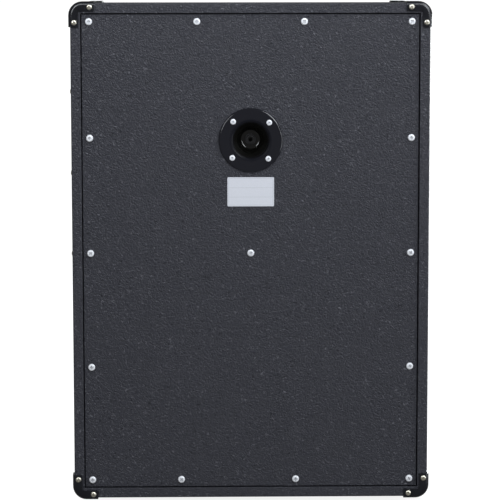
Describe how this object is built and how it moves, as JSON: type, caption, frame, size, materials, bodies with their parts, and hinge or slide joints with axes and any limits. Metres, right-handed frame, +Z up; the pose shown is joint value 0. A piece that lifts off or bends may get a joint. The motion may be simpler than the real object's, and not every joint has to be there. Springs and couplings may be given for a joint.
{
  "type": "guitar speaker cabinet",
  "caption": "Tall closed-back guitar speaker cabinet with round drivers behind a cloth grille, recessed side handles, corner protectors and a rear jack dish.",
  "frame": {"origin": "on the floor under the middle of the cabinet, at the bottom of the feet", "axes": "+Z up, +Y from the grille to the rear panel, +X to the right as seen from the front"},
  "size_m": [0.5148, 0.3094, 0.7135],
  "materials": {
    "plywood": "raw birch plywood",
    "vinyl": "grained black vinyl",
    "grille_weave": "coarse woven cloth",
    "hook_and_loop": "nylon pile",
    "corner_plastic": "satin moulded",
    "handle_plastic": "fine moulded grain",
    "dish_plastic": "satin black",
    "jack_plastic": "moulded black",
    "zinc": "bright zinc",
    "pale_zinc": "yellowish zinc",
    "steel": "plain steel",
    "foot_rubber": "black rubber",
    "label_film": "pale silver film, blank",
    "gasket_board": "pressed fibre",
    "basket_paint": "black stove paint",
    "ferrite": "ground ferrite",
    "cone_paper": "pulped paper",
    "spider_cloth": "resin-stiffened cloth",
    "copper": "enamelled copper on a paper former",
    "terminal_fibre": "fibre board with tinned tabs",
    "lead_jacket": "flexible jacket"
  },
  "bodies": {
    "cabinet": {"top_panel": "plywood", "bottom_panel": "plywood", "left_panel": "plywood", "right_panel": "plywood", "baffle_board": "plywood", "rear_panel": "plywood", "centre_brace": "plywood", "rear_battens": "plywood", "baffle_battens": "plywood", "grille_frame": "plywood", "shell_covering": "vinyl", "rear_panel_covering": "vinyl", "grille_cloth": "grille_weave", "grille_pads": "hook_and_loop", "rear_corner_protectors": "corner_plastic", "front_corner_protectors": "corner_plastic", "handle_cup_left": "handle_plastic", "handle_cup_right": "handle_plastic", "handle_bar_left": "handle_plastic", "handle_bar_right": "handle_plastic", "jack_dish": "dish_plastic", "jack_socket": "jack_plastic", "jack_nut": "jack_plastic", "rear_panel_screws": "zinc", "jack_dish_screws": "zinc", "corner_screws": "pale_zinc", "handle_screws": "pale_zinc", "foot_screws": "steel", "foot_washers": "steel", "baffle_screws": "steel", "speaker_bolts": "steel", "speaker_nuts": "steel", "jack_washer": "steel", "upper_top_plate": "steel", "lower_top_plate": "steel", "upper_back_plate": "steel", "lower_back_plate": "steel", "rubber_feet": "foot_rubber", "blank_label": "label_film", "upper_gasket": "gasket_board", "lower_gasket": "gasket_board", "upper_basket": "basket_paint", "lower_basket": "basket_paint", "upper_magnet": "ferrite", "lower_magnet": "ferrite", "upper_surround": "cone_paper", "lower_surround": "cone_paper", "upper_spider": "spider_cloth", "lower_spider": "spider_cloth", "upper_terminal_board": "terminal_fibre", "lower_terminal_board": "terminal_fibre", "upper_lead": "lead_jacket", "lower_lead": "lead_jacket"},
    "upper_cone_assembly": {"upper_cone": "cone_paper", "upper_dust_cap": "cone_paper", "upper_voice_coil": "copper"},
    "lower_cone_assembly": {"lower_cone": "cone_paper", "lower_dust_cap": "cone_paper", "lower_voice_coil": "copper"}
  },
  "joints": [
    {"name": "upper_cone_travel", "type": "slide", "parent": "cabinet", "child": "upper_cone_assembly", "axis": [0, 1, 0], "range_m": [-0.003, 0.003], "stiffness_N_per_m": 6000, "deforming": ["upper_surround", "upper_spider"]},
    {"name": "lower_cone_travel", "type": "slide", "parent": "cabinet", "child": "lower_cone_assembly", "axis": [0, 1, 0], "range_m": [-0.003, 0.003], "stiffness_N_per_m": 6000, "deforming": ["lower_surround", "lower_spider"]}
  ]
}
